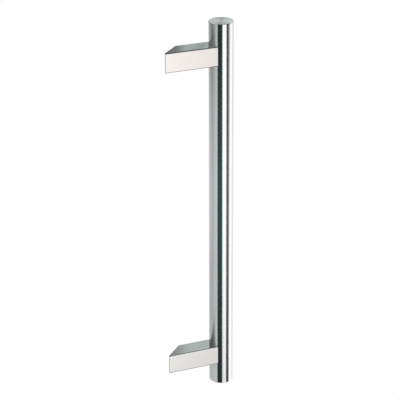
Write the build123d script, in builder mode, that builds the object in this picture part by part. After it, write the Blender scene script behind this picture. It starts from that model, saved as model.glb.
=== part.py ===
"""Offset entry door pull: a round bar on two square supports, each mitred where it meets the door.

Sizes are in millimetres. The door's face is the plane y = 0, with +Y into the door and +Z up along the bar.
The origin lies on that face, midway between the two fixing holes. The lower half mirrors the upper half.
"""

from build123d import *

import os
from math import cos, radians, sin, tan

# Bar
bar_diameter = 30.0
bar_wall = 2.0
bar_overhang = 40.0  # from a support's centre to the end of the bar, its cap included

# Supports
fixing_spacing = 400.0  # between the supports' centres, along the bar
support_side = 24.0  # square section
bar_standoff = 46.0  # from the door's face to the bar's axis
offset_angle = 45.0  # degrees between a support's axis and the door's normal
support_edge_radius = 0.8  # softened edges
mitre_tip_radius = 1.0  # blunted sharp edge of the mitre

# Fixing hole for the bolt through the door, drawn plain at the thread's major diameter
fixing_thread = 8.0
fixing_wall = 2.0  # least steel left between the hole's end and the support's outer side
drill_point_angle = 118.0  # degrees, on every drilled hole

# End caps, pressed into the tube
cap_thickness = 3.0  # beyond the tube's end
cap_rim_chamfer = 0.8
cap_spigot_length = 10.0
cap_spigot_lead = 1.0  # chamfer that guides the spigot into the bore

# Button-head screw that holds a support to the tube
screw_thread = 8.0
screw_length = 20.0  # under the head
screw_point_chamfer = 1.0
screw_head_diameter = 14.0
screw_head_height = 4.4
screw_head_band = 0.8  # straight rim below the dome
screw_head_flat = 6.5  # diameter of the flat on top of the dome
screw_dome_radius = 7.4
socket_across_flats = 5.0
socket_depth = 2.6
screw_point_room = 3.0  # tapped hole left beyond the screw's point

# Saddle washer, flat under the screw's head and curved to the tube's bore
washer_diameter = 16.0
washer_thickness = 4.2  # at its middle

# Clearances on the radius
seat_gap = 0.05  # between a curved seat and the round face that it sits on
spigot_gap = 0.02
thread_gap = 0.05
screw_hole_gap = 0.25

# Derived sizes
angle = radians(offset_angle)
bar_radius = bar_diameter / 2
bore_radius = bar_radius - bar_wall
bar_length = fixing_spacing + 2 * bar_overhang
tube_length = bar_length - 2 * cap_thickness
bar_x = bar_standoff * tan(angle)
support_half = support_side / 2
support_length = bar_standoff / cos(angle)  # from the bar's axis to the door, on the support's centre line
mitre_half = support_half * tan(angle)  # what the mitre adds to the outer side and takes off the inner one
fixing_radius = fixing_thread / 2 + thread_gap
fixing_depth = (support_half - fixing_wall - fixing_radius * cos(angle)) / sin(angle)
screw_radius = screw_thread / 2
screw_hole_radius = screw_radius + screw_hole_gap
washer_face = bore_radius - seat_gap - washer_thickness  # from the bar's axis
tapped_end = washer_face + screw_length + screw_point_room  # from the bar's axis

# Directions and planes that the pieces share
to_door = Vector(-sin(angle), cos(angle), 0)  # along a support, away from the bar
outward = Vector(-cos(angle), -sin(angle), 0)  # across a support, to its outer side
bar_plane = Plane(origin=(bar_x, -bar_standoff, 0), z_dir=(0, 0, 1))
support_sections = [
    Plane(origin=(bar_x, -bar_standoff, height), x_dir=(0, 0, 1), z_dir=to_door)
    for height in (fixing_spacing / 2, -fixing_spacing / 2)
]
upper_section = support_sections[0]
upper_plan = Plane(origin=upper_section.origin, x_dir=to_door, z_dir=(0, 0, 1))
upper_fixing = Plane(origin=(0, 0, fixing_spacing / 2), x_dir=(1, 0, 0), z_dir=(0, 1, 0))
cap_profile = Plane(origin=bar_plane.offset(tube_length / 2).origin, x_dir=(1, 0, 0), z_dir=(0, -1, 0))
screw_profile = Plane(origin=upper_section.offset(washer_face).origin, x_dir=(0, 0, 1), z_dir=outward)


def drill(mouth, radius, depth):
    """Drills a blind hole into the piece that is being built; the plane mouth faces out of the hole."""
    point_height = radius / tan(radians(drill_point_angle / 2))
    with Locations(mouth):
        Hole(radius, depth=depth)
    with Locations(mouth.offset(-depth - point_height / 2)):
        Cone(0, radius, point_height, mode=Mode.SUBTRACT)


# Tube, with one screw hole through its wall at each support
with BuildPart() as grip_tube:
    with BuildSketch(bar_plane.offset(-tube_length / 2)):
        Circle(bar_radius)
        Circle(bore_radius, mode=Mode.SUBTRACT)
    extrude(amount=tube_length)
    with BuildSketch(*support_sections):
        Circle(screw_hole_radius)
    extrude(amount=bar_diameter, mode=Mode.SUBTRACT)

# Turned cap: a flat disc flush with the tube, on a spigot
with BuildPart() as upper_end_cap:
    with BuildSketch(cap_profile) as turning:
        with BuildLine():
            Polyline(
                (0, cap_thickness),
                (bar_radius, cap_thickness),
                (bar_radius, 0),
                (bore_radius - spigot_gap, 0),
                (bore_radius - spigot_gap, cap_spigot_lead - cap_spigot_length),
                (bore_radius - spigot_gap - cap_spigot_lead, -cap_spigot_length),
                (0, -cap_spigot_length),
                close=True,
            )
        make_face()
        rim_corner = turning.vertices().group_by(Axis.X)[-1].sort_by(Axis.Y)[-1]
        chamfer(rim_corner, length=cap_rim_chamfer)
    revolve(axis=Axis(bar_plane.origin, bar_plane.z_dir))

with BuildPart() as lower_end_cap:
    mirror(upper_end_cap.part, about=Plane.XY)

# Square support: mitred and tapped at the door, coped to the bar and tapped there too
with BuildPart() as upper_support:
    with BuildSketch(upper_plan.offset(-support_half)) as plan:
        with BuildLine():
            Polyline(
                (0, support_half),
                (support_length + mitre_half, support_half),
                (support_length - mitre_half, -support_half),
                (0, -support_half),
                close=True,
            )
        make_face()
        wide_corner = plan.vertices().sort_by(Axis.X)[-2]
        fillet(wide_corner, radius=support_edge_radius)
        sharp_corner = plan.vertices().sort_by(Axis.X)[-1]
        fillet(sharp_corner, radius=mitre_tip_radius)
    extrude(amount=support_side)
    level_edges = upper_support.faces().filter_by(Axis.Z).edges()
    edges_in_bar = level_edges.group_by(Axis(upper_section.origin, to_door))[0]
    fillet(level_edges - edges_in_bar, radius=support_edge_radius)
    with BuildSketch(bar_plane.offset(fixing_spacing / 2 - support_side)):
        Circle(bar_radius + seat_gap)
    extrude(amount=2 * support_side, mode=Mode.SUBTRACT)
    drill(-upper_section, screw_radius + thread_gap, tapped_end)
    drill(upper_fixing, fixing_radius, fixing_depth)

with BuildPart() as lower_support:
    mirror(upper_support.part, about=Plane.XY)

# Washers inside the tube, one behind each support
with BuildPart() as saddle_washers:
    with BuildSketch(*[section.offset(washer_face) for section in support_sections]):
        Circle(washer_diameter / 2)
        Circle(screw_hole_radius, mode=Mode.SUBTRACT)
    extrude(amount=bar_diameter)
    with BuildSketch(bar_plane.offset(-tube_length / 2)):
        Circle(bore_radius - seat_gap)
    extrude(amount=tube_length, mode=Mode.INTERSECT)

# Screws, each seated on its washer with its point in its support
with BuildPart() as support_screws:
    with BuildSketch(screw_profile):
        with BuildLine():
            Polyline(
                (screw_head_flat / 2, -screw_head_height),
                (0, -screw_head_height),
                (0, screw_length),
                (screw_radius - screw_point_chamfer, screw_length),
                (screw_radius, screw_length - screw_point_chamfer),
                (screw_radius, 0),
                (screw_head_diameter / 2, 0),
                (screw_head_diameter / 2, -screw_head_band),
            )
            RadiusArc(
                (screw_head_diameter / 2, -screw_head_band),
                (screw_head_flat / 2, -screw_head_height),
                screw_dome_radius,
            )
        make_face()
    revolve(axis=Axis(upper_section.origin, to_door))
    with BuildSketch(upper_section.offset(washer_face - screw_head_height)):
        RegularPolygon(socket_across_flats / 2, 6, major_radius=False)
    extrude(amount=socket_depth, mode=Mode.SUBTRACT)
    mirror(about=Plane.XY)

os.makedirs("parts", exist_ok=True)
pieces = {
    "grip_tube": grip_tube,
    "upper_end_cap": upper_end_cap,
    "lower_end_cap": lower_end_cap,
    "upper_support": upper_support,
    "lower_support": lower_support,
    "saddle_washers": saddle_washers,
    "support_screws": support_screws,
}
for name, piece in pieces.items():
    piece.part.label = name
    export_step(piece.part, f"parts/{name}.step")
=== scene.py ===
"""Satin stainless entry door pull: a round bar on two mitred supports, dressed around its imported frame.

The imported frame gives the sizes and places, in metres: the door's face is y = 0, +Y goes into the door and
+Z runs up the bar. Each class builds one sub-assembly out of meshes and dresses it in its finish.
"""

import logging
import math
from dataclasses import dataclass
from enum import Enum

import bmesh
import bpy
from mathutils import Matrix, Vector


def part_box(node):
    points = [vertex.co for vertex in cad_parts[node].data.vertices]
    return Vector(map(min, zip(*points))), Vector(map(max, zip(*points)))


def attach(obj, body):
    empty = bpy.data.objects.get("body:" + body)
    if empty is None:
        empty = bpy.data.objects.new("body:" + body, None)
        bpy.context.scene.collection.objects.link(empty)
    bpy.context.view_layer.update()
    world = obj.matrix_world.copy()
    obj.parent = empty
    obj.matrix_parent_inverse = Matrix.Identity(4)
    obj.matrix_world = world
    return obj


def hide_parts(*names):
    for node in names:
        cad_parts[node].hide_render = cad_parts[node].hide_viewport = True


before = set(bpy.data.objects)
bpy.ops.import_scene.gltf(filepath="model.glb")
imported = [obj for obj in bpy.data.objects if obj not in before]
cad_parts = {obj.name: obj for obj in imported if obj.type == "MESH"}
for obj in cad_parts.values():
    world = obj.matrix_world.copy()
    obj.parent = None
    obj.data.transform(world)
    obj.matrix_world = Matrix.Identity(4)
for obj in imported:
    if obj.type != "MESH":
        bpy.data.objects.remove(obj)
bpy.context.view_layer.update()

LOG = logging.getLogger("door_pull")
MM = 0.001
FULL_TURN = 2 * math.pi

# Angle between a support and the straight way to the door
SUPPORT_LEAN = math.radians(45)

# Steps in a full turn, and distances within which points are one or lie on a surface
ROUND_STEPS = 256
THREAD_STEPS = 48
MERGE_DISTANCE = 0.001 * MM
ON_SURFACE = 0.01 * MM

# Edges bent by more than this stay crisp, and large faces steer the shading of the small ones beside them
CRISP_EDGE = math.radians(30)
FLAT_FACE_WEIGHT = 90

# A face whose normal rises by less than this is upright
UPRIGHT_RISE = 0.5

# Noise keeps to the middle of its range, so that part is stretched to the whole
NOISE_LOW = 0.3
NOISE_HIGH = 0.7
SCRATCH_DETAIL = 3.0
SCRATCH_ROUGHNESS = 0.6

# A quarter of a turn lays the wide side of the highlight across the scratches
ACROSS_THE_GRAIN = 0.25

# Width of a card's columns, their least number, and the steps of a round card
CARD_STEP_DEG = 1.5
CARD_LEAST_COLUMNS = 4
CARD_ROUND_STEPS = 48

# Width of the photograph, and the sensor that its lens is worked out for
IMAGE_WIDTH_PX = 400
SENSOR_WIDTH_MM = 36.0


class Grain(Enum):
    """Way in which a finish was worked into the steel."""

    ROUND_THE_BAR = "ground round the bar"
    LENGTHWISE = "brushed along the support"
    TURNED = "turned on a lathe"
    TUMBLED = "headed and tumbled, with no direction"


class Height(Enum):
    """Heights at which the strength of a card is set, in metres from the bar's middle."""

    FOOT = -1.2
    SHIN = -0.95
    KNEE = -0.72
    SILL = -0.54
    WAIST = -0.36
    SHADE = -0.17
    RAIL = 0.06
    DOOR = 0.25
    LINTEL = 0.4
    BROW = 0.6
    CROWN = 0.75
    TOP = 1.3


def linear(hex_colour: str) -> tuple[float, float, float, float]:
    """Turns an sRGB hex value into linear RGBA.

    Args:
        hex_colour: six hex digits, such as "C8C8C6".

    Returns:
        Linear red, green and blue, with full alpha.
    """
    channels = [int(hex_colour[i : i + 2], 16) / 255 for i in (0, 2, 4)]
    red, green, blue = (c / 12.92 if c <= 0.04045 else ((c + 0.055) / 1.055) ** 2.4 for c in channels)
    return red, green, blue, 1.0


def add_node(
    tree: bpy.types.NodeTree, kind: str, inputs: dict[str | int, object] | None = None, **settings: object
) -> bpy.types.Node:
    """Adds a node, sets its properties and fills or links its inputs.

    Args:
        tree: node tree that takes the node.
        kind: Blender's name of the node type.
        inputs: socket names or numbers, each with a value or with the output socket that feeds it.
        settings: properties of the node.

    Returns:
        The new node.
    """
    node = tree.nodes.new(kind)
    for key, value in settings.items():
        setattr(node, key, value)
    for key, value in (inputs or {}).items():
        if isinstance(value, bpy.types.NodeSocket):
            tree.links.new(value, node.inputs[key])
        else:
            node.inputs[key].default_value = value
    return node


def blank_material(name: str) -> tuple[bpy.types.Material, bpy.types.NodeTree]:
    """Makes a material with an empty node tree.

    Args:
        name: the material's name.

    Returns:
        The material and its tree.
    """
    material = bpy.data.materials.new(name)
    material.use_nodes = True
    material.node_tree.nodes.clear()
    return material, material.node_tree


def mesh_object(name: str, shape: bmesh.types.BMesh) -> bpy.types.Object:
    """Turns a bmesh into an object at the origin of the scene.

    Args:
        name: name of the object and of its mesh.
        shape: the shape, which is freed.

    Returns:
        The linked object.
    """
    mesh = bpy.data.meshes.new(name)
    shape.to_mesh(mesh)
    shape.free()
    piece = bpy.data.objects.new(name, mesh)
    bpy.context.scene.collection.objects.link(piece)
    return piece


def revolve(profile: list[tuple[float, float]], closed: bool) -> bmesh.types.BMesh:
    """Spins a profile once round the Z axis into a closed solid.

    Args:
        profile: radius and height of each point, in order.
        closed: whether the last point joins the first; an open profile starts and ends on the axis.

    Returns:
        The closed solid.
    """
    shape = bmesh.new()
    points = [shape.verts.new((radius, 0.0, height)) for radius, height in profile]
    pairs = list(zip(points, points[1:]))
    if closed:
        pairs.append((points[-1], points[0]))
    edges = [shape.edges.new(pair) for pair in pairs]
    bmesh.ops.spin(
        shape,
        geom=points + edges,
        cent=(0, 0, 0),
        axis=(0, 0, 1),
        angle=FULL_TURN,
        steps=ROUND_STEPS,
        use_merge=True,
    )
    bmesh.ops.remove_doubles(shape, verts=shape.verts[:], dist=MERGE_DISTANCE)
    bmesh.ops.recalc_face_normals(shape, faces=shape.faces[:])
    return shape


def drill_bit(radius: float, depth: float, point_angle_deg: float) -> bmesh.types.BMesh:
    """Makes the shape that a drill removes: it enters at the origin and points down.

    Args:
        radius: radius of the hole.
        depth: depth of the full diameter.
        point_angle_deg: angle of the drill's point.

    Returns:
        The closed solid, which also stands above the origin by its depth.
    """
    tip = depth + radius / math.tan(math.radians(point_angle_deg / 2))
    return revolve([(0.0, depth), (radius, depth), (radius, -depth), (0.0, -tip)], closed=False)


def carve(piece: bpy.types.Object, cutters: list[bpy.types.Object]) -> None:
    """Cuts shapes out of a piece, clears the slivers that this leaves and removes the cutters.

    Args:
        piece: object whose mesh is replaced by the cut one.
        cutters: closed objects to take away.
    """
    for cutter in cutters:
        cut = piece.modifiers.new(cutter.name, "BOOLEAN")
        cut.operation = "DIFFERENCE"
        cut.solver = "EXACT"
        cut.object = cutter
    apply_modifiers(piece)
    for cutter in cutters:
        bpy.data.objects.remove(cutter)
    shape = bmesh.new()
    shape.from_mesh(piece.data)
    bmesh.ops.dissolve_degenerate(shape, edges=shape.edges[:], dist=MERGE_DISTANCE)
    shape.to_mesh(piece.data)
    shape.free()


def apply_modifiers(piece: bpy.types.Object) -> None:
    """Replaces a piece's mesh by what its modifiers make of it.

    Args:
        piece: the object, which is left without modifiers.
    """
    bpy.context.view_layer.update()
    depsgraph = bpy.context.evaluated_depsgraph_get()
    plain, finished = piece.data, bpy.data.meshes.new_from_object(piece.evaluated_get(depsgraph))
    piece.modifiers.clear()
    piece.data = finished
    bpy.data.meshes.remove(plain)
    finished.name = piece.name


def even_shading(piece: bpy.types.Object) -> None:
    """Shades a piece smooth between its crisp edges and keeps its large faces flat.

    Args:
        piece: the finished piece.
    """
    piece.data.shade_smooth()
    piece.data.set_sharp_from_angle(angle=CRISP_EDGE)
    even = piece.modifiers.new("even_shading", "WEIGHTED_NORMAL")
    even.weight = FLAT_FACE_WEIGHT
    even.keep_sharp = True
    apply_modifiers(piece)


def dress(piece: bpy.types.Object, material: bpy.types.Material, slot: str, *nodes: str) -> None:
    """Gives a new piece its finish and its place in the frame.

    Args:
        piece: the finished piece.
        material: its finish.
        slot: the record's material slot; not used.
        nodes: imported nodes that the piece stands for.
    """
    even_shading(piece)
    piece.data.materials.clear()
    piece.data.materials.append(material)
    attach(piece, "root")
    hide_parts(*nodes)
    LOG.info("%s: %d faces, %s", piece.name, len(piece.data.polygons), material.name)


@dataclass(frozen=True)
class SteelFinish:
    """Satin stainless steel: fine parallel scratches spread a highlight across their own direction."""

    name: str
    grain: Grain
    colour: str
    streak_colour: str
    roughness: float
    roughness_spread: float
    anisotropy: float
    scratch_width_mm: float
    scratch_length_mm: float
    scratch_depth_mm: float = 0.0

    def scratch_space(self, tree: bpy.types.NodeTree, axis: Vector) -> bpy.types.NodeSocket:
        """Adds coordinates in which one unit is a scratch's width across and its length along.

        Args:
            tree: the material's node tree.
            axis: a point on the bar's axis.

        Returns:
            The vector socket.
        """
        across = 1 / (self.scratch_width_mm * MM)
        along = 1 / (self.scratch_length_mm * MM)
        place = add_node(tree, "ShaderNodeTexCoord")
        if self.grain is Grain.LENGTHWISE:
            return add_node(
                tree, "ShaderNodeMapping", {"Vector": place.outputs["UV"], "Scale": (along, across, 1.0)}
            ).outputs[0]
        centred = add_node(
            tree, "ShaderNodeMapping", {"Vector": place.outputs["Object"], "Location": -axis}
        ).outputs[0]
        if self.grain is Grain.TUMBLED:
            return add_node(
                tree, "ShaderNodeMapping", {"Vector": centred, "Scale": (along, along, along)}
            ).outputs[0]
        if self.grain is Grain.ROUND_THE_BAR:
            return add_node(
                tree, "ShaderNodeMapping", {"Vector": centred, "Scale": (along, along, across)}
            ).outputs[0]
        flat = add_node(
            tree, "ShaderNodeVectorMath", {0: centred, 1: (1.0, 1.0, 0.0)}, operation="MULTIPLY"
        ).outputs[0]
        ring = add_node(tree, "ShaderNodeVectorMath", {0: flat}, operation="LENGTH").outputs["Value"]
        turn = add_node(
            tree, "ShaderNodeVectorMath", {0: flat, "Scale": along}, operation="SCALE"
        ).outputs[0]
        out = add_node(tree, "ShaderNodeMath", {0: ring, 1: across}, operation="MULTIPLY").outputs[0]
        rise = add_node(tree, "ShaderNodeCombineXYZ", {"Z": out}).outputs[0]
        return add_node(tree, "ShaderNodeVectorMath", {0: turn, 1: rise}, operation="ADD").outputs[0]

    def material(self, axis: Vector) -> bpy.types.Material:
        """Builds the finish as a Principled metal with scratches in its gloss, colour and relief.

        Args:
            axis: a point on the bar's axis.

        Returns:
            The material.
        """
        material, tree = blank_material(self.name)
        scratches = add_node(
            tree,
            "ShaderNodeTexNoise",
            {
                "Vector": self.scratch_space(tree, axis),
                "Scale": 1.0,
                "Detail": SCRATCH_DETAIL,
                "Roughness": SCRATCH_ROUGHNESS,
            },
        ).outputs["Fac"]
        streak = add_node(
            tree, "ShaderNodeMapRange", {"Value": scratches, "From Min": NOISE_LOW, "From Max": NOISE_HIGH}
        ).outputs["Result"]
        gloss = add_node(
            tree,
            "ShaderNodeMapRange",
            {
                "Value": streak,
                "To Min": self.roughness - self.roughness_spread,
                "To Max": self.roughness + self.roughness_spread,
            },
        ).outputs["Result"]
        tint = add_node(
            tree,
            "ShaderNodeMix",
            {"Factor": streak, "A": linear(self.streak_colour), "B": linear(self.colour)},
            data_type="RGBA",
        )
        relief = add_node(
            tree,
            "ShaderNodeBump",
            {"Height": scratches, "Strength": 1.0, "Distance": self.scratch_depth_mm * MM},
        )
        if self.grain is Grain.LENGTHWISE:
            tangent = add_node(tree, "ShaderNodeTangent", direction_type="UV_MAP", uv_map="grain")
        else:
            tangent = add_node(tree, "ShaderNodeTangent", direction_type="RADIAL", axis="Z")
        shader = add_node(
            tree,
            "ShaderNodeBsdfPrincipled",
            {
                "Base Color": tint.outputs["Result"],
                "Metallic": 1.0,
                "Roughness": gloss,
                "Anisotropic": self.anisotropy,
                "Anisotropic Rotation": ACROSS_THE_GRAIN,
                "Tangent": tangent.outputs[0],
                "Normal": relief.outputs[0],
            },
        )
        add_node(tree, "ShaderNodeOutputMaterial", {"Surface": shader.outputs[0]})
        return material


# Stainless tube, ground round by a fine belt. The rings of scratches smear every reflection up and down the
# bar and leave its upright bands crisp. They are too fine to show, so they are drawn 0.35 mm wide.
BAR_STEEL = SteelFinish(
    "stainless_ground_round",
    Grain.ROUND_THE_BAR,
    colour="D5D5D4",
    streak_colour="D2D2D1",
    roughness=0.22,
    roughness_spread=0.005,
    anisotropy=0.98,
    scratch_width_mm=0.35,
    scratch_length_mm=9.0,
)

# Stainless disc, faced on a lathe. The tool's rings spread light outwards from the middle, which gives a
# pale and a dark pair of fans. Real rings are a tenth of a millimetre apart and are drawn coarser, so that
# they show.
CAP_STEEL = SteelFinish(
    "stainless_turned",
    Grain.TURNED,
    colour="E0E0DF",
    streak_colour="D2D2D1",
    roughness=0.32,
    roughness_spread=0.03,
    anisotropy=0.9,
    scratch_width_mm=0.8,
    scratch_length_mm=30.0,
)

# Drawn stainless square, brushed along its length. Its lines run from the bar to the door: they blur light
# across themselves and keep it sharp along. Real ones are about 0.1 mm wide and are drawn coarser, so that
# they show.
SUPPORT_STEEL = SteelFinish(
    "stainless_brushed_lengthwise",
    Grain.LENGTHWISE,
    colour="C5C5C4",
    streak_colour="BEBEBD",
    roughness=0.14,
    roughness_spread=0.02,
    anisotropy=1.0,
    scratch_width_mm=1.1,
    scratch_length_mm=60.0,
    scratch_depth_mm=0.006,
)

# Cold-headed stainless screws and washers, tumbled clean. Dull and even, with a faint cloudiness half a
# millimetre across and no direction.
FASTENER_STEEL = SteelFinish(
    "stainless_tumbled",
    Grain.TUMBLED,
    colour="C8C8C6",
    streak_colour="B8B8B6",
    roughness=0.38,
    roughness_spread=0.06,
    anisotropy=0.0,
    scratch_width_mm=0.5,
    scratch_length_mm=0.5,
    scratch_depth_mm=0.004,
)


@dataclass(frozen=True)
class BarLine:
    """Axis and outside of the bar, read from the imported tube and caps."""

    axis: Vector
    radius: float
    tube_half: float
    bar_half: float

    @classmethod
    def from_frame(cls) -> "BarLine":
        """Reads the bar from the frame's boxes.

        Returns:
            The bar's line.
        """
        low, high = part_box("grip_tube")
        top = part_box("upper_end_cap")[1].z
        middle = (low + high) / 2
        return cls(Vector((middle.x, middle.y, 0.0)), (high.x - low.x) / 2, high.z, top)


@dataclass
class GripBar:
    """The tube that the hand holds, with a turned cap pressed into each end."""

    line: BarLine
    support_heights: tuple[float, float]
    to_door: Vector
    wall: float = 2 * MM
    screw_hole_radius: float = 4.25 * MM
    ring_margin: float = 8 * MM
    cap_spigot: float = 10 * MM
    cap_lead: float = 1 * MM
    spigot_gap: float = 0.02 * MM
    rim_radius: float = 0.5 * MM
    rim_segments: int = 5

    def build_tube(self) -> bpy.types.Object:
        """Makes the tube's wall with a screw hole behind each support.

        A ring of edges above and below each hole keeps the long faces of the wall whole.

        Returns:
            The tube.
        """
        outside, inside, half = self.line.radius, self.line.radius - self.wall, self.line.tube_half
        shape = revolve([(outside, -half), (outside, half), (inside, half), (inside, -half)], closed=True)
        for height in self.support_heights:
            for ring in (height - self.ring_margin, height + self.ring_margin):
                everything = shape.verts[:] + shape.edges[:] + shape.faces[:]
                bmesh.ops.bisect_plane(shape, geom=everything, plane_co=(0, 0, ring), plane_no=(0, 0, 1))
        bmesh.ops.translate(shape, verts=shape.verts[:], vec=self.line.axis)
        tube = mesh_object("bar_tube", shape)
        turn = Vector((0, 0, 1)).rotation_difference(self.to_door).to_matrix().to_4x4()
        cutters = []
        for height in self.support_heights:
            hole = self.screw_hole_radius
            pin = revolve([(0.0, 0.0), (hole, 0.0), (hole, 2 * outside), (0.0, 2 * outside)], closed=False)
            place = Matrix.Translation(self.line.axis + Vector((0, 0, height))) @ turn
            bmesh.ops.transform(pin, matrix=place, verts=pin.verts[:])
            cutters.append(mesh_object(f"hole_pin_{len(cutters)}", pin))
        carve(tube, cutters)
        return tube

    def build_cap(self, name: str, upward: bool) -> bpy.types.Object:
        """Makes a turned cap: a disc flush with the tube, on a spigot in its bore.

        Args:
            name: the piece's name.
            upward: whether it closes the upper end.

        Returns:
            The cap.
        """
        rim, bore = self.line.radius, self.line.radius - self.wall - self.spigot_gap
        top, seat = self.line.bar_half, self.line.tube_half
        shape = revolve(
            [
                (0.0, top),
                (rim, top),
                (rim, seat),
                (bore, seat),
                (bore, seat - self.cap_spigot + self.cap_lead),
                (bore - self.cap_lead, seat - self.cap_spigot),
                (0.0, seat - self.cap_spigot),
            ],
            closed=False,
        )
        edge = [
            e
            for e in shape.edges
            if all(math.isclose(v.co.z, top, abs_tol=ON_SURFACE) for v in e.verts)
            and all(math.isclose(v.co.xy.length, rim, abs_tol=ON_SURFACE) for v in e.verts)
        ]
        bmesh.ops.bevel(
            shape,
            geom=edge,
            offset=self.rim_radius,
            affect="EDGES",
            segments=self.rim_segments,
            profile=0.5,
            material=-1,
        )
        if not upward:
            bmesh.ops.scale(shape, vec=(1, 1, -1), verts=shape.verts[:])
            bmesh.ops.recalc_face_normals(shape, faces=shape.faces[:])
        bmesh.ops.translate(shape, verts=shape.verts[:], vec=self.line.axis)
        return mesh_object(name, shape)

    def build(self, tube_steel: bpy.types.Material, cap_steel: bpy.types.Material) -> None:
        """Builds and dresses the tube and both caps.

        Args:
            tube_steel: finish of the tube.
            cap_steel: finish of the caps.
        """
        dress(self.build_tube(), tube_steel, "bar_steel", "grip_tube")
        for name, node, upward in (
            ("bar_cap_upper", "upper_end_cap", True),
            ("bar_cap_lower", "lower_end_cap", False),
        ):
            cap = self.build_cap(name, upward)
            dress(cap, cap_steel, "cap_steel", node)
            self.grind_wall(cap, tube_steel)

    def grind_wall(self, cap: bpy.types.Object, tube_steel: bpy.types.Material) -> None:
        """Gives a cap's outer wall the tube's finish, because the two are ground together.

        Args:
            cap: the dressed cap.
            tube_steel: finish of the tube.
        """
        cap.data.materials.append(tube_steel)
        inner = self.line.radius - self.wall / 2
        for face in cap.data.polygons:
            upright = abs(face.normal.z) < UPRIGHT_RISE
            if upright and (face.center - self.line.axis).xy.length > inner:
                face.material_index = 1


@dataclass
class MitredSupport:
    """A square support: coped to the bar, mitred to lie flat on the door, and tapped at both ends.

    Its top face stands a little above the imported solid's, where the photograph shows it. The ridge of the
    thread is as wide at its root and at its crest as twice those shares of the pitch.
    """

    name: str
    node: str
    line: BarLine
    to_door: Vector
    top_rise: float = 0.5 * MM
    edge_radius: float = 1.4 * MM
    edge_segments: int = 8
    cut_edge: float = 0.25 * MM
    tip_flat: float = 1.8 * MM
    cope_edge: float = 0.15 * MM
    cope_segments: int = 3
    seat_gap: float = 0.05 * MM
    thread_radius: float = 4.05 * MM
    screw_depth: float = 31.75 * MM
    fixing_depth: float = 10.09 * MM
    drill_point_deg: float = 118.0
    thread_pitch: float = 1.25 * MM
    thread_height: float = 0.65 * MM
    thread_root_share: float = 0.42
    thread_crest_share: float = 0.08
    plain_turns: int = 2

    def __post_init__(self) -> None:
        """Reads the support's section and height from the frame, and sets up its own axes."""
        low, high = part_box(self.node)
        self.half = (high.z - low.z) / 2
        self.height = (high.z + low.z) / 2
        self.lean = math.atan2(-self.to_door.x, self.to_door.y)
        self.reach = -self.line.axis.y / math.cos(self.lean)
        outward = Vector((0, 0, 1)).cross(self.to_door)
        own = Matrix((self.to_door, outward, Vector((0, 0, 1)))).transposed().to_4x4()
        self.place = Matrix.Translation(self.line.axis + Vector((0, 0, self.height))) @ own

    def build_block(self) -> bmesh.types.BMesh:
        """Makes the mitred bar in its own axes: X to the door, Y outward, Z up.

        Its sharp tip is cut back to a flat. Its drawn edges are rounder than the cut ones, which each
        edge's weight tells the bevel.

        Returns:
            The closed solid, from the bar's axis to the door.
        """
        half, slope = self.half, self.half * math.tan(self.lean)
        tip = self.reach + slope - self.tip_flat * math.tan(self.lean)
        plan = [
            (0.0, half),
            (0.0, -half),
            (self.reach - slope, -half),
            (tip, half - self.tip_flat),
            (tip, half),
        ]
        shape = bmesh.new()
        floor = shape.faces.new([shape.verts.new((x, y, -half)) for x, y in plan])
        raised = bmesh.ops.extrude_face_region(shape, geom=[floor])["geom"]
        corners = [item for item in raised if isinstance(item, bmesh.types.BMVert)]
        bmesh.ops.translate(shape, vec=(0, 0, 2 * half + self.top_rise), verts=corners)
        bmesh.ops.recalc_face_normals(shape, faces=shape.faces[:])
        softness = shape.edges.layers.float.new("bevel_weight_edge")
        for edge in shape.edges:
            ends = sorted(vert.co.x for vert in edge.verts)
            if ends[0] > 0:
                edge[softness] = self.cut_edge / self.edge_radius
            elif ends[1] > 0:
                edge[softness] = 1.0
        return shape

    def build_cutters(self) -> list[bpy.types.Object]:
        """Makes the cope and both drilled holes, in the support's own axes.

        Returns:
            Closed cutters.
        """
        seat, tall = self.line.radius + self.seat_gap, 2 * self.half
        cope = revolve([(0.0, -tall), (seat, -tall), (seat, tall), (0.0, tall)], closed=False)
        screw = drill_bit(self.thread_radius, self.screw_depth, self.drill_point_deg)
        to_bar = Vector((0, 0, 1)).rotation_difference(Vector((-1, 0, 0))).to_matrix().to_4x4()
        bmesh.ops.transform(screw, matrix=to_bar, verts=screw.verts[:])
        fixing = drill_bit(self.thread_radius, self.fixing_depth, self.drill_point_deg)
        bmesh.ops.transform(fixing, matrix=self.fixing_mouth(), verts=fixing.verts[:])
        shapes = {"cope": cope, "screw_drill": screw, "fixing_drill": fixing}
        return [mesh_object(f"{self.name}_{what}", shape) for what, shape in shapes.items()]

    def fixing_mouth(self) -> Matrix:
        """Gives the place of the fixing hole's mouth in the support's own axes.

        Returns:
            The place, with Z out of the hole.
        """
        out = Vector((math.cos(self.lean), -math.sin(self.lean), 0))
        turn = Vector((0, 0, 1)).rotation_difference(out).to_matrix().to_4x4()
        return Matrix.Translation((self.reach, 0, 0)) @ turn

    def build_body(self) -> bpy.types.Object:
        """Makes the finished support with a UV map that runs along its brushing.

        Returns:
            The support.
        """
        body = mesh_object(self.name, self.build_block())
        soften = body.modifiers.new("soft_edges", "BEVEL")
        soften.limit_method = "WEIGHT"
        soften.offset_type = "OFFSET"
        soften.width = self.edge_radius
        soften.segments = self.edge_segments
        carve(body, self.build_cutters())
        shape = bmesh.new()
        shape.from_mesh(body.data)
        self.break_cope(shape)
        grain = shape.loops.layers.uv.new("grain")
        for face in shape.faces:
            upright = abs(face.normal.y) > abs(face.normal.z)
            for loop in face.loops:
                point = loop.vert.co
                loop[grain].uv = (point.x, point.z if upright else point.y)
        bmesh.ops.transform(shape, matrix=self.place, verts=shape.verts[:])
        shape.to_mesh(body.data)
        shape.free()
        return body

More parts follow.
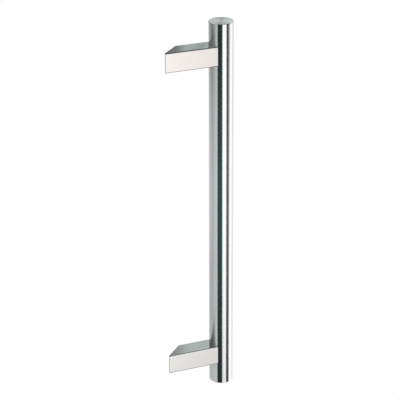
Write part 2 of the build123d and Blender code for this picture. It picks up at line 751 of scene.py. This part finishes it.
    def break_cope(self, shape: bmesh.types.BMesh) -> None:
        """Rounds the edge of the cope, which leaves a fine dark line along the joint with the bar.

        Args:
            shape: the carved support in its own axes.
        """
        seat = self.line.radius + self.seat_gap
        on_seat = {v for v in shape.verts if math.isclose(v.co.xy.length, seat, abs_tol=ON_SURFACE)}
        rim = []
        for edge in shape.edges:
            seated_faces = [face for face in edge.link_faces if on_seat.issuperset(face.verts)]
            beside_hole = all(vert.co.yz.length < 2 * self.thread_radius for vert in edge.verts)
            if on_seat.issuperset(edge.verts) and len(seated_faces) == 1 and not beside_hole:
                rim.append(edge)
        bmesh.ops.bevel(
            shape,
            geom=rim,
            offset=self.cope_edge,
            affect="EDGES",
            segments=self.cope_segments,
            profile=0.5,
            material=-1,
        )

    def build_thread(self) -> bpy.types.Object:
        """Makes the ridge of the fixing hole's thread as one helix.

        Returns:
            The thread.
        """
        pitch, wall = self.thread_pitch, self.thread_radius + self.seat_gap
        crest = self.thread_radius - self.thread_height
        turns = int(self.fixing_depth / pitch) - self.plain_turns
        start = -self.fixing_depth + pitch
        root_half, crest_half = self.thread_root_share * pitch, self.thread_crest_share * pitch
        profile = [(wall, -root_half), (crest, -crest_half), (crest, crest_half), (wall, root_half)]
        shape = bmesh.new()
        ring = [shape.verts.new((radius, 0.0, start + rise)) for radius, rise in profile]
        section = shape.faces.new(ring)
        bmesh.ops.spin(
            shape,
            geom=ring + section.edges[:] + [section],
            cent=(0, 0, 0),
            axis=(0, 0, 1),
            dvec=(0, 0, pitch / THREAD_STEPS),
            angle=turns * FULL_TURN,
            steps=turns * THREAD_STEPS,
        )
        bmesh.ops.recalc_face_normals(shape, faces=shape.faces[:])
        grain = shape.loops.layers.uv.new("grain")
        for face in shape.faces:
            for loop in face.loops:
                loop[grain].uv = (math.atan2(loop.vert.co.y, loop.vert.co.x) * wall, loop.vert.co.z)
        bmesh.ops.transform(shape, matrix=self.place @ self.fixing_mouth(), verts=shape.verts[:])
        return mesh_object(f"{self.name}_thread", shape)

    def build(self, steel: bpy.types.Material) -> None:
        """Builds and dresses the support and its thread.

        Args:
            steel: finish of the support.
        """
        dress(self.build_body(), steel, "support_steel", self.node)
        dress(self.build_thread(), steel, "support_steel")


def hang_card(card: bpy.types.Object, tint: str, strength: float | None = None) -> None:
    """Args:
        card: the card, whose name its light takes.
        tint: colour of its light.
        strength: strength all over; without it, the light is as strong as the card's corners say.
    """
    material, tree = blank_material(card.name)
    power: float | bpy.types.NodeSocket | None = strength
    if strength is None:
        power = add_node(tree, "ShaderNodeAttribute", attribute_name="strength").outputs["Fac"]
    glow = add_node(tree, "ShaderNodeEmission", {"Color": linear(tint), "Strength": power})
    add_node(tree, "ShaderNodeOutputMaterial", {"Surface": glow.outputs[0]})
    card.data.materials.append(material)
    card.visible_camera = False
    card.visible_shadow = False


@dataclass(frozen=True)
class Seam:
    """Upright line where two cards meet, which may lean.

    Angles count from the direction of the camera, seen from the bar, and grow towards the picture's right.
    """

    angle_deg: float
    lean_deg_per_m: float = 0.0

    def at(self, height: float) -> float:
        """Gives the seam's angle in radians at a height: it is the stated one at the waist."""
        return math.radians(self.angle_deg + self.lean_deg_per_m * (height - Height.WAIST.value))


@dataclass(frozen=True)
class StudioCard:
    """A card or softbox that the steel reflects: an upright arc round the bar, unseen by the camera.

    Each level holds a height and the card's strengths there, at its start and at its end.
    """

    name: str
    start: Seam
    end: Seam
    tint: str
    levels: tuple[tuple[Height, float, float], ...]
    distance: float = 0.8

    def build(self, centre: Vector, camera_bearing_deg: float) -> None:
        """Bends a grid round the bar and stores the card's strengths on its corners.

        Args:
            centre: a point on the bar's axis.
            camera_bearing_deg: direction from the bar to the camera.
        """
        rows = len(self.levels) - 1
        columns = round((self.end.angle_deg - self.start.angle_deg) / CARD_STEP_DEG)
        shape = bmesh.new()
        # The grid runs from -0.5 to 0.5 both ways
        bmesh.ops.create_grid(
            shape, x_segments=max(CARD_LEAST_COLUMNS, columns), y_segments=rows, size=0.5
        )
        strength = shape.verts.layers.float.new("strength")
        for vert in shape.verts:
            share = vert.co.x + 0.5
            level, first, last = self.levels[round((vert.co.y + 0.5) * rows)]
            height = level.value
            angle = math.radians(camera_bearing_deg)
            angle += self.start.at(height) * (1 - share) + self.end.at(height) * share
            out = Vector((self.distance * math.cos(angle), self.distance * math.sin(angle), height))
            vert.co = centre + out
            vert[strength] = first * (1 - share) + last * share
        hang_card(mesh_object(self.name, shape), self.tint)


@dataclass(frozen=True)
class StudioFlag:
    """A round dark card above or below the object, which draws the edges of the steel."""

    name: str
    height: float
    radius: float
    tint: str
    strength: float

    def build(self, centre: Vector) -> None:
        """Makes the disc.

        Args:
            centre: a point on the bar's axis.
        """
        shape = bmesh.new()
        bmesh.ops.create_circle(shape, cap_ends=True, segments=CARD_ROUND_STEPS, radius=self.radius)
        bmesh.ops.translate(shape, verts=shape.verts[:], vec=(centre.x, centre.y, self.height))
        hang_card(mesh_object(self.name, shape), self.tint, self.strength)


@dataclass(frozen=True)
class PhotoView:
    """Camera of the photograph, placed from the bar's middle."""

    distance: float = 1.828655
    height: float = 0.810905
    bearing_deg: float = -157.647
    turn_deg: float = 0.813
    pitch_deg: float = 23.649
    roll_deg: float = -0.286
    focal_px: float = 1621.197

    def build(self, centre: Vector) -> None:
        """Makes the camera and gives it to the scene.

        Args:
            centre: the bar's middle.
        """
        bearing = math.radians(self.bearing_deg)
        place = centre + Vector(
            (self.distance * math.cos(bearing), self.distance * math.sin(bearing), self.height)
        )
        heading = Matrix.Rotation(bearing + math.pi / 2 + math.radians(self.turn_deg), 4, "Z")
        tilt = Matrix.Rotation(math.pi / 2 - math.radians(self.pitch_deg), 4, "X")
        roll = Matrix.Rotation(math.radians(self.roll_deg), 4, "Z")
        lens = bpy.data.cameras.new("photo_camera")
        lens.sensor_width = SENSOR_WIDTH_MM
        lens.lens = self.focal_px * SENSOR_WIDTH_MM / IMAGE_WIDTH_PX
        camera = bpy.data.objects.new("photo_camera", lens)
        camera.matrix_world = Matrix.Translation(place) @ heading @ tilt @ roll
        bpy.context.scene.collection.objects.link(camera)
        bpy.context.scene.camera = camera


@dataclass
class Studio:
    """White studio: a floor and a world that show white, with cards for the steel to reflect."""

    centre: Vector
    view: PhotoView
    floor_height: float = -1.25
    floor_size: float = 12.0

    def cards(self) -> list[StudioCard]:
        """Lists the cards by their angle from the camera, seen from above.

        Returns:
            The cards.
        """
        back = Seam(-175.05)
        left = Seam(-91)
        camera_left = Seam(-34.4, 2.5)
        camera_right = Seam(12.6, -2)
        front = Seam(34)
        front_right = Seam(50.8, -2.5)
        right_dark = Seam(72.5, -13)
        right = Seam(88, 6)
        right_back = Seam(118)
        rear = Seam(174)
        over_cap = Seam(181.2)
        back_again = Seam(back.angle_deg + 360)
        return [
            StudioCard(
                "wall_left_far",
                back,
                left,
                "FAFFFE",
                (
                    (Height.FOOT, 0.74, 0.97),
                    (Height.KNEE, 0.74, 0.97),
                    (Height.SILL, 0.86, 0.20),
                    (Height.WAIST, 0.94, 0.92),
                    (Height.SHADE, 1.14, 0.63),
                    (Height.RAIL, 0.74, 0.04),
                    (Height.LINTEL, 0.09, 0.02),
                    (Height.BROW, 0.44, 0.70),
                    (Height.TOP, 1.00, 1.70),
                ),
            ),
            StudioCard(
                "wall_left_near",
                left,
                camera_left,
                "FAFFFE",
                (
                    (Height.FOOT, 0.97, 0.96),
                    (Height.KNEE, 0.97, 0.96),
                    (Height.SILL, 0.20, 0.50),
                    (Height.WAIST, 0.92, 1.17),
                    (Height.SHADE, 0.63, 0.88),
                    (Height.RAIL, 0.04, 0.83),
                    (Height.LINTEL, 0.02, 0.46),
                    (Height.BROW, 0.70, 0.40),
                    (Height.TOP, 1.70, 1.30),
                ),
            ),
            StudioCard(
                "flag_camera",
                camera_left,
                camera_right,
                "B1FCFF",
                (
                    (Height.FOOT, 0.00, 0.10),
                    (Height.SILL, 0.00, 0.01),
                    (Height.WAIST, 0.15, 0.28),
                    (Height.SHADE, 0.07, 0.14),
                    (Height.RAIL, 0.00, 0.00),
                    (Height.TOP, 0.00, 0.00),
                ),
            ),
            StudioCard(
                "softbox_front",
                camera_right,
                front,
                "FFFDFC",
                (
                    (Height.FOOT, 0.10, 0.10),
                    (Height.SHIN, 0.95, 0.95),
                    (Height.SILL, 1.34, 1.34),
                    (Height.WAIST, 1.78, 1.92),
                    (Height.RAIL, 1.50, 1.82),
                    (Height.LINTEL, 1.50, 1.82),
                ),
            ),
            StudioCard(
                "softbox_edge",
                front,
                front_right,
                "FFF9F7",
                (
                    (Height.WAIST, 2.00, 1.50),
                    (Height.RAIL, 1.82, 1.33),
                    (Height.LINTEL, 1.82, 1.33),
                ),
            ),
            StudioCard(
                "softbox_edge_low",
                front,
                front_right,
                "FFFDFA",
                (
                    (Height.FOOT, 0.11, 0.11),
                    (Height.SHIN, 1.27, 0.70),
                    (Height.WAIST, 2.00, 1.50),
                ),
            ),
            StudioCard(
                "flag_right",
                front_right,
                right_dark,
                "C4F6FF",
                (
                    (Height.FOOT, 0.02, 0.02),
                    (Height.SILL, 0.04, 0.04),
                    (Height.WAIST, 0.27, 0.27),
                    (Height.RAIL, 0.05, 0.05),
                    (Height.LINTEL, 0.02, 0.02),
                ),
            ),
            StudioCard(
                "fade_right",
                right_dark,
                right,
                "F4FCFF",
                (
                    (Height.FOOT, 0.02, 1.45),
                    (Height.SILL, 0.02, 1.30),
                    (Height.WAIST, 0.22, 1.46),
                    (Height.RAIL, 0.02, 1.26),
                    (Height.LINTEL, 0.02, 0.80),
                ),
            ),
            StudioCard(
                "softbox_right",
                right,
                right_back,
                "FFFFFF",
                (
                    (Height.FOOT, 1.78, 1.50),
                    (Height.RAIL, 1.78, 1.50),
                    (Height.DOOR, 1.10, 1.50),
                    (Height.LINTEL, 0.08, 0.40),
                    (Height.TOP, 0.02, 0.10),
                ),
            ),
            StudioCard(
                "wall_right",
                right_back,
                back_again,
                "FFFFFF",
                (
                    (Height.FOOT, 1.15, 1.05),
                    (Height.WAIST, 1.15, 1.05),
                    (Height.RAIL, 1.15, 0.80),
                ),
            ),
            StudioCard(
                "brow_right",
                right_back,
                rear,
                "F6FFFE",
                (
                    (Height.RAIL, 1.50, 1.20),
                    (Height.LINTEL, 0.60, 1.15),
                    (Height.BROW, 0.30, 1.10),
                    (Height.TOP, 0.10, 0.10),
                ),
            ),
            StudioCard(
                "brow_cap",
                rear,
                over_cap,
                "F6FFFE",
                (
                    (Height.RAIL, 0.90, 1.00),
                    (Height.BROW, 0.90, 1.20),
                    (Height.TOP, 0.10, 0.10),
                ),
            ),
            StudioCard(
                "brow_posts",
                over_cap,
                back_again,
                "F2FFFE",
                (
                    (Height.RAIL, 0.64, 1.22),
                    (Height.BROW, 0.26, 0.80),
                    (Height.CROWN, 0.09, 0.09),
                    (Height.TOP, 0.03, 0.03),
                ),
            ),
            StudioCard(
                "brow_front",
                camera_right,
                right,
                "DDFCFF",
                (
                    (Height.LINTEL, 0.02, 0.02),
                    (Height.BROW, 0.14, 0.14),
                    (Height.TOP, 0.14, 0.14),
                ),
            ),
        ]

    def flags(self) -> list[StudioFlag]:
        """Lists the dark cards over and under the object.

        Returns:
            The cards.
        """
        return [
            StudioFlag("flag_over", height=Height.TOP.value, radius=0.8, tint="E6FFFC", strength=0.16),
            StudioFlag("flag_under", height=Height.FOOT.value, radius=0.8, tint="E6FFFC", strength=0.06),
        ]

    def build(self) -> None:
        """Builds the floor, the world, the cards and the camera."""
        shape = bmesh.new()
        bmesh.ops.create_grid(shape, x_segments=1, y_segments=1, size=self.floor_size / 2)
        bmesh.ops.translate(shape, verts=shape.verts[:], vec=(0, 0, self.floor_height))
        floor = mesh_object("floor", shape)
        floor.data.materials.append(self.white())
        for card in self.cards():
            card.build(self.centre, self.view.bearing_deg)
        for flag in self.flags():
            flag.build(self.centre)
        world = bpy.data.worlds.new("white_studio")
        world.use_nodes = True
        world.node_tree.nodes["Background"].inputs["Color"].default_value = linear("FFFFFF")
        bpy.context.scene.world = world
        bpy.context.scene.view_settings.view_transform = "Standard"
        self.view.build(self.centre)

    def white(self) -> bpy.types.Material:
        """Makes the floor's white, which the camera and the steel see as plain white.

        Returns:
            The material.
        """
        material, tree = blank_material("white_paper")
        path = add_node(tree, "ShaderNodeLightPath").outputs
        seen = path["Is Camera Ray"]
        for ray in ("Is Glossy Ray", "Is Transmission Ray"):
            seen = add_node(tree, "ShaderNodeMath", {0: seen, 1: path[ray]}, operation="MAXIMUM").outputs[0]
        paper = add_node(tree, "ShaderNodeBsdfDiffuse", {"Color": linear("F4F4F4")})
        glow = add_node(tree, "ShaderNodeEmission", {"Color": linear("FFFFFF"), "Strength": 1.0})
        mixed = add_node(tree, "ShaderNodeMixShader", {0: seen, 1: paper.outputs[0], 2: glow.outputs[0]})
        add_node(tree, "ShaderNodeOutputMaterial", {"Surface": mixed.outputs[0]})
        return material


def main() -> None:
    """Builds the pull and its studio."""
    logging.basicConfig(level=logging.INFO, format="%(message)s")
    line = BarLine.from_frame()
    to_door = Vector((-math.sin(SUPPORT_LEAN), math.cos(SUPPORT_LEAN), 0))
    bar_steel, cap_steel, support_steel, fastener_steel = (
        finish.material(line.axis) for finish in (BAR_STEEL, CAP_STEEL, SUPPORT_STEEL, FASTENER_STEEL)
    )
    supports = [
        MitredSupport("support_upper", "upper_support", line, to_door),
        MitredSupport("support_lower", "lower_support", line, to_door),
    ]
    GripBar(line, (supports[0].height, supports[1].height), to_door).build(bar_steel, cap_steel)
    for support in supports:
        support.build(support_steel)
    for node in ("saddle_washers", "support_screws"):
        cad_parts[node].data.materials.clear()
        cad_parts[node].data.materials.append(fastener_steel)
        LOG.info("%s: packed solids, %s", node, fastener_steel.name)
    Studio(line.axis, PhotoView()).build()


if __name__ == "__main__":
    main()
